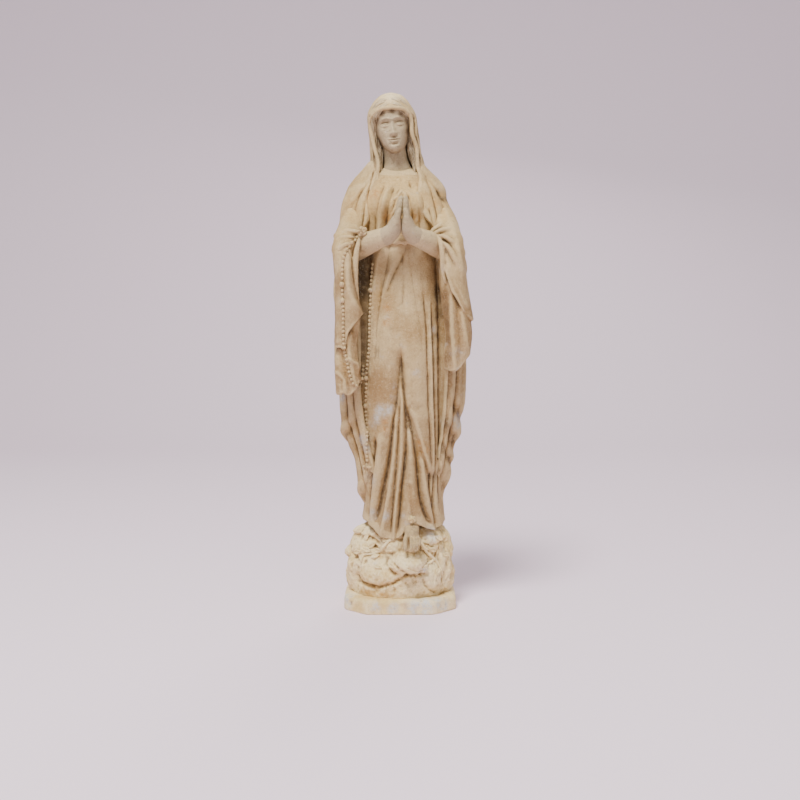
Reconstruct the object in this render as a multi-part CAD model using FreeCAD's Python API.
"""Standing madonna statue in cast stone, 800 mm tall, as an assembly of its castings and its steel pins.

The figure stands on a rocky mound on a chamfered slab, hands pressed together, in a belted gown, a mantle that
falls over both forearms and a veil. A rosary hangs from her right elbow. Millimetres, +Z up, the front faces -Y.
Her right is at -X and her left at +X. The origin is the middle of the slab's flat underside.
"""
import FreeCAD
import Part
import math
import os

V = FreeCAD.Vector

# ---- Driving dimensions ------------------------------------------------------------------------------------
HEIGHT = 800.0
SLAB_WIDTH = 176.0
SLAB_DEPTH = 156.0
SLAB_THICK = 23.0
SLAB_CHAMFER = 36.0
MOUND_TOP = 128.0
HEM_Z = 112.0
WAIST_Z = 575.0
COLLAR_Z = 692.0
GIRDLE_WIDTH = 10.0
ROD_RADIUS = 5.0
PIN_RADIUS = 2.0
DOWEL_RADIUS = 4.0
BEAD_RADIUS = 2.6
LARGE_BEAD_RADIUS = 4.2
BEAD_PITCH = 6.4
BEAD_RELIEF = 0.6        # how far a bead's middle stands off its seat, as a share of its radius

# Levels of a draped form: height, centre x, half width, depth to the front, depth to the back
MOUND_LEVELS = [
    (SLAB_THICK, 0, 78, 66, 62),
    (45, 0, 84, 72, 68),
    (75, 0, 82, 68, 66),
    (103, 1, 77, 58, 60),
    (MOUND_TOP, 2, 66, 44, 50),
]
GOWN_LEVELS = [
    (HEM_Z, 5, 67, 62, 50),
    (150, 5, 62, 57, 48),
    (220, 5, 58, 54, 46),
    (320, 4, 61, 57, 47),
    (430, 3, 61, 58, 47),
    (500, 2, 58, 53, 44),
    (545, 1, 56, 51, 42),
    (WAIST_Z, 0, 54, 49, 41),
    (600, -1, 56, 50, 42),
    (625, -2, 57, 53, 43),
    (650, -3, 55, 45, 41),
    (678, -5, 38, 30, 33),
    (COLLAR_Z, -6, 24, 20, 23),
]
MANTLE_LEVELS = [
    (158, 6, 65.5, 50, 56),
    (240, 3, 80, 54, 60),
    (320, 2, 99, 55, 64),
    (430, 3, 106, 55, 66),
    (540, -1, 104, 52, 64),
    (600, -3, 92, 50, 60),
    (650, -5, 76, 44, 54),
    (682, -7, 54, 34, 45),
]
VEIL_LEVELS = [
    (670, -7, 62, 30, 48),
    (700, -8, 46, 28, 46),
    (725, -9, 40, 31, 48),
    (750, -11, 39, 34, 47),
    (775, -13, 35, 31, 40),
    (791, -13, 23, 19, 26),
    (HEIGHT, -13, 7, 6, 8),
]
FALL_LEVELS = [
    (380, 83, 23, 24, 14),
    (430, 84, 23, 27, 18),
    (490, 84, 22, 29, 22),
    (545, 85, 20, 29, 25),
    (572, 82, 18, 23, 24),
    (582, 80, 12, 14, 16),
]
FALL_Y = -44.0           # the falls hang in front of the mantle
FALL_HEM_Z = 428.0
FALL_HEM_SLANT = 50.0    # degrees
SKIRT_PLEATS = 17
PLEAT_DEPTH = 0.035      # share of the radius

# Where the limbs run, from the elbow to the wrist. x is given for her left side and mirrored for her right.
ELBOW = V(86, -34, 553)
FOREARM_MIDDLE = V(52, -64, 561)
WRIST = V(15, -84, 574)
FOREARM_RADII = (20, 19, 12.5)
HAND_TIP_Z = 636.0
HAND_LEAN = 5.0          # the fingertips lean to +X

HEAD_CENTRE = V(-12, -6, 748)
HEAD_RADII = V(27, 33, 38)
NECK_RADIUS = 17.5
HEAD_TILT = -7.0         # degrees about Y, the crown towards -X


# ---- Shape helpers -----------------------------------------------------------------------------------------
def ring_point(level, turn, pleats=0, depth=0.0):
    """A point of a level's outline. Turn is in degrees from the front, positive towards +X. Pleats fade out
    round the sides, where another casting is bedded against the form."""
    z, centre_x, half_width, front, back = level
    a = math.radians(turn)
    swell = 1.0 + depth * math.cos(pleats * a) * max(0.0, math.cos(a)) ** 2
    reach = front if math.cos(a) > 0 else back
    return V(centre_x + half_width * swell * math.sin(a), -reach * swell * math.cos(a), z)


def closed_wire(points):
    curve = Part.BSplineCurve()
    curve.interpolate(points, PeriodicFlag=True)
    return Part.Wire([curve.toShape()])


def open_edge(points):
    curve = Part.BSplineCurve()
    curve.interpolate(points)
    return curve.toShape()


def ring_wire(level, pleats=0, depth=0.0, count=48):
    return closed_wire([ring_point(level, 360.0 * i / count, pleats, depth) for i in range(count)])


def draped_solid(levels, pleats=0, depths=None, count=48):
    """A closed solid through a stack of level outlines, with pleats that may deepen towards the hem."""
    depths = depths or [0.0] * len(levels)
    return Part.makeLoft([ring_wire(lv, pleats, d, count) for lv, d in zip(levels, depths)], True)


def level_at(levels, z):
    """A level between two given ones, in proportion."""
    for low, high in zip(levels, levels[1:]):
        if low[0] <= z <= high[0]:
            share = (z - low[0]) / (high[0] - low[0])
            return tuple(a + (b - a) * share for a, b in zip(low, high))
    return levels[0] if z < levels[0][0] else levels[-1]


def limb(points, radii, flat=1.0):
    """A tapered round form along a few points: circles square to the path, lofted. Flat squeezes them along Y."""
    wires = []
    for i, (p, r) in enumerate(zip(points, radii)):
        ahead = points[min(i + 1, len(points) - 1)]
        behind = points[max(i - 1, 0)]
        along = (ahead - behind).normalize()
        across = along.cross(V(0, 1, 0)).normalize()
        up = along.cross(across).normalize()
        ring = []
        for k in range(16):
            a = 2 * math.pi * k / 16
            ring.append(p + across * (r * math.cos(a)) + up * (r * flat * math.sin(a)))
        wires.append(closed_wire(ring))
    return Part.makeLoft(wires, True)


def egg(centre, radii, tilt=0.0):
    """An egg with its own radius along each axis, lofted from rings and turned about Y."""
    rings = []
    for i in range(9):
        height = math.sin(math.radians(-80 + 20 * i))
        width = math.sqrt(1 - height * height)
        rings.append((radii.z * height, 0, radii.x * width, radii.y * width, radii.y * width))
    shape = draped_solid(rings, count=20)
    shape.rotate(V(0, 0, 0), V(0, 1, 0), tilt)
    shape.translate(centre)
    return shape


def mirrored(p):
    return V(-p.x, p.y, p.z)


def less(shape, *others):
    for other in others:
        shape = shape.cut(other)
    return shape


def front_of(levels, x, z):
    """y of the front of a draped form at x and z."""
    _, centre_x, half_width, front, _ = level_at(levels, z)
    share = max(-0.999, min(0.999, (x - centre_x) / half_width))
    return -front * math.sqrt(1 - share * share)


# ---- Castings ----------------------------------------------------------------------------------------------
def plinth_slab():
    """A rectangle with its four corners cut off, its top edge worn round."""
    x, y, c = SLAB_WIDTH / 2, SLAB_DEPTH / 2, SLAB_CHAMFER
    corners = [(x - c, -y), (x, c - y), (x, y - c), (x - c, y), (c - x, y), (-x, y - c), (-x, c - y), (c - x, -y)]
    outline = Part.makePolygon([V(a, b, 0) for a, b in corners + corners[:1]])
    slab = Part.Face(outline).extrude(V(0, 0, SLAB_THICK))
    top = [e for e in slab.Edges if all(abs(v.Z - SLAB_THICK) < 1e-6 for v in e.Vertexes)]
    return slab.makeFillet(4.0, top)


def rock_mound():
    return draped_solid(MOUND_LEVELS, pleats=7, depths=[0.02, 0.03, 0.03, 0.02, 0.0])


def gown():
    """The dressed figure from the hem to the collar, whose pleats fade out towards the waist."""
    shares = [1.0, 1.0, 0.8, 0.6, 0.4, 0.2] + [0.0] * (len(GOWN_LEVELS) - 6)
    return draped_solid(GOWN_LEVELS, SKIRT_PLEATS, [PLEAT_DEPTH * s for s in shares], count=102)


def part_at_waist(body):
    """The skirt and the bodice, which meet on a flat joint under the girdle."""
    below = Part.makeBox(300, 300, WAIST_Z, V(-150, -150, 0))
    return body.common(below), body.cut(below)


def belt():
    """The narrow girdle round the waist, a band that stands a little proud of the gown."""
    _, centre_x, half_width, front, back = level_at(GOWN_LEVELS, WAIST_Z - GIRDLE_WIDTH)
    round_it = (centre_x, half_width + 1.5, front + 1.5, back + 1.5)
    return draped_solid([(WAIST_Z - GIRDLE_WIDTH,) + round_it, (WAIST_Z,) + round_it])


def mantle(side):
    """Half of the cloak: a thick crescent from the back seam round to the flank. Side is -1 for her right."""
    wires = []
    turns = [side * (180.0 - 9.6 * i) for i in range(15)]
    for level in MANTLE_LEVELS:
        z, centre_x, half_width, front, back = level
        outer = [ring_point(level, t) for t in turns]
        inner = [ring_point((z, centre_x, half_width * 0.45, front * 0.45, back * 0.45), t) for t in turns]
        wires.append(Part.Wire([
            open_edge(outer),
            Part.makeLine(outer[-1], inner[-1]),
            open_edge(inner[::-1]),
            Part.makeLine(inner[0], outer[0]),
        ]))
    return Part.makeLoft(wires, True)


def sleeve_fall(side):
    """The end of the mantle that hangs over a forearm. Its hem slants up towards the skirt."""
    shape = draped_solid([(z, side * x, *rest) for z, x, *rest in FALL_LEVELS], 5, [0.05] * 5 + [0.0], count=40)
    shape.translate(V(0, FALL_Y, 0))
    below = Part.makeBox(200, 200, 200, V(-100, -100, -200))
    below.rotate(V(0, 0, 0), V(0, 1, 0), side * FALL_HEM_SLANT)
    below.translate(V(side * 84, FALL_Y, FALL_HEM_Z))
    return less(shape, below)


def forearm(side):
    points = [ELBOW, FOREARM_MIDDLE, WRIST]
    if side < 0:
        points = [mirrored(p) for p in points]
    return limb(points, FOREARM_RADII)


def hand(side):
    """One palm and its four straight fingers, pressed to the other hand on the plane between them."""
    levels = [
        (560, 8.2, 7.6, 11, 11),
        (580, 7.6, 7.2, 14, 15),
        (602, 6.4, 6.2, 16, 16),
        (620, 4.8, 4.6, 13, 13),
        (632, 3.6, 3.4, 9, 9),
        (HAND_TIP_Z, 2.6, 2.3, 6, 6),
    ]
    lean = [HAND_LEAN * (z - 560) / (HAND_TIP_Z - 560) for z, *_ in levels]
    shifted = [(lv[0], side * lv[1] + dx, *lv[2:]) for lv, dx in zip(levels, lean)]
    shape = draped_solid(shifted, count=24)
    shape.translate(V(0, -88, 0))
    return shape


def thumb(side):
    low, high = V(side * 8, -74, 584), V(side * 4 + 3, -70, 606)
    return limb([low, (low + high) * 0.5, high], (4.0, 3.8, 2.6))


def neck():
    return limb([V(-5, 2, COLLAR_Z - 12), V(-7, 0, 705), V(-10, -3, 722)], (NECK_RADIUS + 2, NECK_RADIUS, NECK_RADIUS))


def head():
    """The skull and face as one egg, tilted towards her right."""
    skull = egg(HEAD_CENTRE, HEAD_RADII, HEAD_TILT)
    nose = limb([HEAD_CENTRE + V(0, -31, 4), HEAD_CENTRE + V(0, -36, -7)], (2.5, 3.8))
    return skull.fuse(nose)


def hair():
    """A rolled band of hair between the face and the veil."""
    outside = egg(HEAD_CENTRE + V(0, 2, 1), HEAD_RADII + V(3.5, -1.0, 3.0), HEAD_TILT)
    window = egg(HEAD_CENTRE + V(0, -40, -9), V(23.5, 60, 33), HEAD_TILT)
    box = Part.makeBox(100, 60, 70, HEAD_CENTRE + V(-50, -60, -22))
    return less(outside.common(box), window)


def veil():
    """The hood: open in front of the face and the throat, and resting on the shoulders."""
    hood = draped_solid(VEIL_LEVELS)
    window = egg(HEAD_CENTRE + V(0, -50, -8), V(28, 50, 36), HEAD_TILT)
    throat = Part.makeBox(50, 60, 74, V(-33, -66, 666))
    return less(hood, window, throat)


def foot():
    """Her left foot, which comes out under the hem and points down the rock."""
    return limb([V(17, -46, 125), V(17, -62, 117), V(17, -76, 105), V(17, -84, 96)], (11, 12, 10.5, 6))


def beads_between(ends, pitch=BEAD_PITCH):
    """Points at an even pitch along straight stretches in x and z."""
    points = []
    for (x0, z0), (x1, z1) in zip(ends, ends[1:]):
        count = max(1, round(math.hypot(x1 - x0, z1 - z0) / pitch))
        points += [(x0 + (x1 - x0) * i / count, z0 + (z1 - z0) * i / count) for i in range(count)]
    return points


def face_of(host, x, z):
    """y where a line along +Y at x and z first enters the host."""
    inside = host.common(Part.makeLine(V(x, -200, z), V(x, 0, z)))
    return min(v.Y for v in inside.Vertexes)


def bed_of(host, x, z):
    """A point of the host's front at x and z, and the direction straight out of the host there."""
    here = V(x, face_of(host, x, z), z)
    face = min(host.Faces, key=lambda f: f.distToShape(Part.Vertex(here))[0])
    return here, face.normalAt(*face.Surface.parameter(here))


def strand(ends, host, large=()):
    """Beads along straight stretches, each a sphere cut flat where it sits on the host. Large ones are counted
    from the top."""
    beads = []
    for i, (x, z) in enumerate(beads_between(ends)):
        radius = LARGE_BEAD_RADIUS if i in large else BEAD_RADIUS
        bed, outward = bed_of(host, x, z)
        flat = -math.degrees(math.asin(BEAD_RELIEF))
        beads.append(Part.makeSphere(radius, bed + outward * (radius * BEAD_RELIEF), outward, flat, 90, 360))
    return beads


def rosary_sleeve_strand(fall):
    return strand([(-78, 558), (-88, 535), (-91, 500), (-91, 438)], fall, large=(9, 12))


def rosary_gown_strand(skirt):
    return strand([(-40, 528), (-42, 480), (-44, 405), (-46, 330), (-46, 240)], skirt, large=(6, 27, 34))


def rosary_crucifix(skirt):
    """A plain cross at the end of the strand, lying on the skirt."""
    y = face_of(skirt, -46, 224)
    upright = Part.makeBox(4, 6, 24, V(-48, y - 3, 210))
    bar = Part.makeBox(14, 6, 4, V(-53, y - 3, 224))
    return less(upright.fuse(bar), skirt)


def rose(centre, size):
    """Five round petals about a button, fused into one flower."""
    flower = Part.makeSphere(size * 0.45, centre)
    for k in range(5):
        a = 2 * math.pi * k / 5 + 0.3
        petal = egg(centre + V(size * 0.6 * math.cos(a), 0, size * 0.6 * math.sin(a)), V(size * 0.5, size * 0.3, size * 0.5))
        flower = flower.fuse(petal)
    return flower


def on_mound(x, z, proud=0.0):
    return V(x, front_of(MOUND_LEVELS, x, z) - proud, z)


def briar_stems():
    """Three canes of a wild rose that lie over the rock on both sides of the foot."""
    left = [on_mound(30, 118, 4), on_mound(44, 95, 1), on_mound(58, 70, 1), on_mound(66, 40, 1)]
    right = [on_mound(-2, 112, 3), on_mound(-24, 104, 1), on_mound(-46, 98, 1), on_mound(-60, 90, 1)]
    low = [on_mound(-6, 84, 1), on_mound(10, 76, 1), on_mound(34, 64, 1)]
    return [limb(left, (3, 2.8, 2.6, 2.0)), limb(right, (3, 2.6, 2.4, 1.8)), limb(low, (2.6, 2.6, 2.0))]


def briar_leaves():
    """Pointed leaves in groups, lying flat on the rock."""
    spots = [(-30, 96, 20), (-44, 90, -25), (-58, 84, 35), (-52, 110, -40), (44, 112, 30), (58, 104, -20), (60, 58, 60)]
    return [egg(on_mound(x, z, 1), V(9, 2.6, 5), turn) for x, z, turn in spots]


# ---- Steel pins inside the castings ------------------------------------------------------------------------
def steel_rod():
    return Part.makeCylinder(ROD_RADIUS, 650, V(0, 2, 8))


def neck_pin():
    return Part.makeCylinder(PIN_RADIUS + 1, 60, V(-7, 1, 690))


def wrist_pin(side):
    start = V(side * 26, -77, 569)
    reach = V(side * 9, -86, 578) - start
    return Part.makeCylinder(PIN_RADIUS, 30, start - reach.normalize() * 8, reach)


def slab_dowels():
    return [Part.makeCylinder(DOWEL_RADIUS, 44, V(x, 10, 6)) for x in (-48, 48)]


# ---- Assembly ----------------------------------------------------------------------------------------------
def build():
    """Every node as a list of solids. Each casting is cut back by the ones that it is bedded against."""
    rod, pin, dowels = steel_rod(), neck_pin(), slab_dowels()
    pins = {side: wrist_pin(side) for side in (-1, 1)}
    slab = less(plinth_slab(), rod, *dowels)
    body = gown()
    skirt, bodice = part_at_waist(body)
    mound = less(rock_mound(), body, rod, *dowels)
    girdle = less(belt(), body)
    head_cast = head()
    neck_cast = less(neck(), body, head_cast)
    arms = {side: less(forearm(side), body, girdle) for side in (-1, 1)}
    hands = {side: less(hand(side), arms[side]) for side in (-1, 1)}
    thumbs = {side: less(thumb(side), hands[side], arms[side]) for side in (-1, 1)}
    cloak = {side: less(mantle(side), body, girdle, arms[side], neck_cast) for side in (-1, 1)}
    falls = {side: less(sleeve_fall(side), cloak[side], arms[side], body) for side in (-1, 1)}
    hair_cast = less(hair(), head_cast)
    hood = less(veil(), head_cast, hair_cast, neck_cast, body, cloak[-1], cloak[1])
    foot_cast = less(foot(), body, mound)
    rock = [mound, body, foot_cast]

    nodes = {
        "plinth_slab": [slab],
        "rock_mound": [mound],
        "gown_skirt": [less(skirt, rod)],
        "gown_bodice": [less(bodice, rod, pin)],
        "girdle": [girdle],
        "mantle_right": [cloak[-1]],
        "mantle_left": [cloak[1]],
        "sleeve_fall_right": [falls[-1]],
        "sleeve_fall_left": [falls[1]],
        "forearm_right": [less(arms[-1], pins[-1])],
        "forearm_left": [less(arms[1], pins[1])],
        "hand_right": [less(hands[-1], pins[-1])],
        "hand_left": [less(hands[1], pins[1])],
        "thumb_right": [thumbs[-1]],
        "thumb_left": [thumbs[1]],
        "neck": [less(neck_cast, pin)],
        "head": [less(head_cast, pin)],
        "hair": [hair_cast],
        "veil": [hood],
        "foot_left": [foot_cast],
        "foot_rose": [less(rose(V(18, -64, 144), 7), *rock)],
        "briar_stems": [less(s, *rock) for s in briar_stems()],
        "briar_bud": [less(rose(on_mound(36, 58, 2), 8), *rock)],
        "briar_leaves": [less(s, *rock) for s in briar_leaves()],
        "rosary_knot": [less(rose(V(-58, -70, 584), 9), arms[-1], falls[-1], body, cloak[-1])],
        "rosary_sleeve_strand": rosary_sleeve_strand(falls[-1]),
        "rosary_gown_strand": rosary_gown_strand(skirt),
        "rosary_crucifix": [rosary_crucifix(skirt)],
        "steel_rod": [rod],
        "neck_pin": [pin],
        "wrist_pin_right": [pins[-1]],
        "wrist_pin_left": [pins[1]],
        "slab_dowels": dowels,
    }
    return nodes


def whole(shape):
    """The solids of a cut shape without the crumbs that a cut along a curved face leaves."""
    largest = max(solid.Volume for solid in shape.Solids)
    return [solid for solid in shape.Solids if solid.Volume > 0.05 * largest]


def main():
    os.makedirs("parts", exist_ok=True)
    for name, shapes in build().items():
        solids = [solid for shape in shapes for solid in whole(shape)]
        compound = Part.makeCompound(solids)
        box = compound.BoundBox
        print(f"{name:22s} solids {len(solids):3d} valid {compound.isValid()} volume {compound.Volume / 1000:9.1f} cm3"
              f"  x {box.XMin:6.1f} {box.XMax:6.1f}  y {box.YMin:6.1f} {box.YMax:6.1f}  z {box.ZMin:6.1f} {box.ZMax:6.1f}")
        (solids[0] if len(solids) == 1 else compound).exportStep(f"parts/{name}.step")


main()
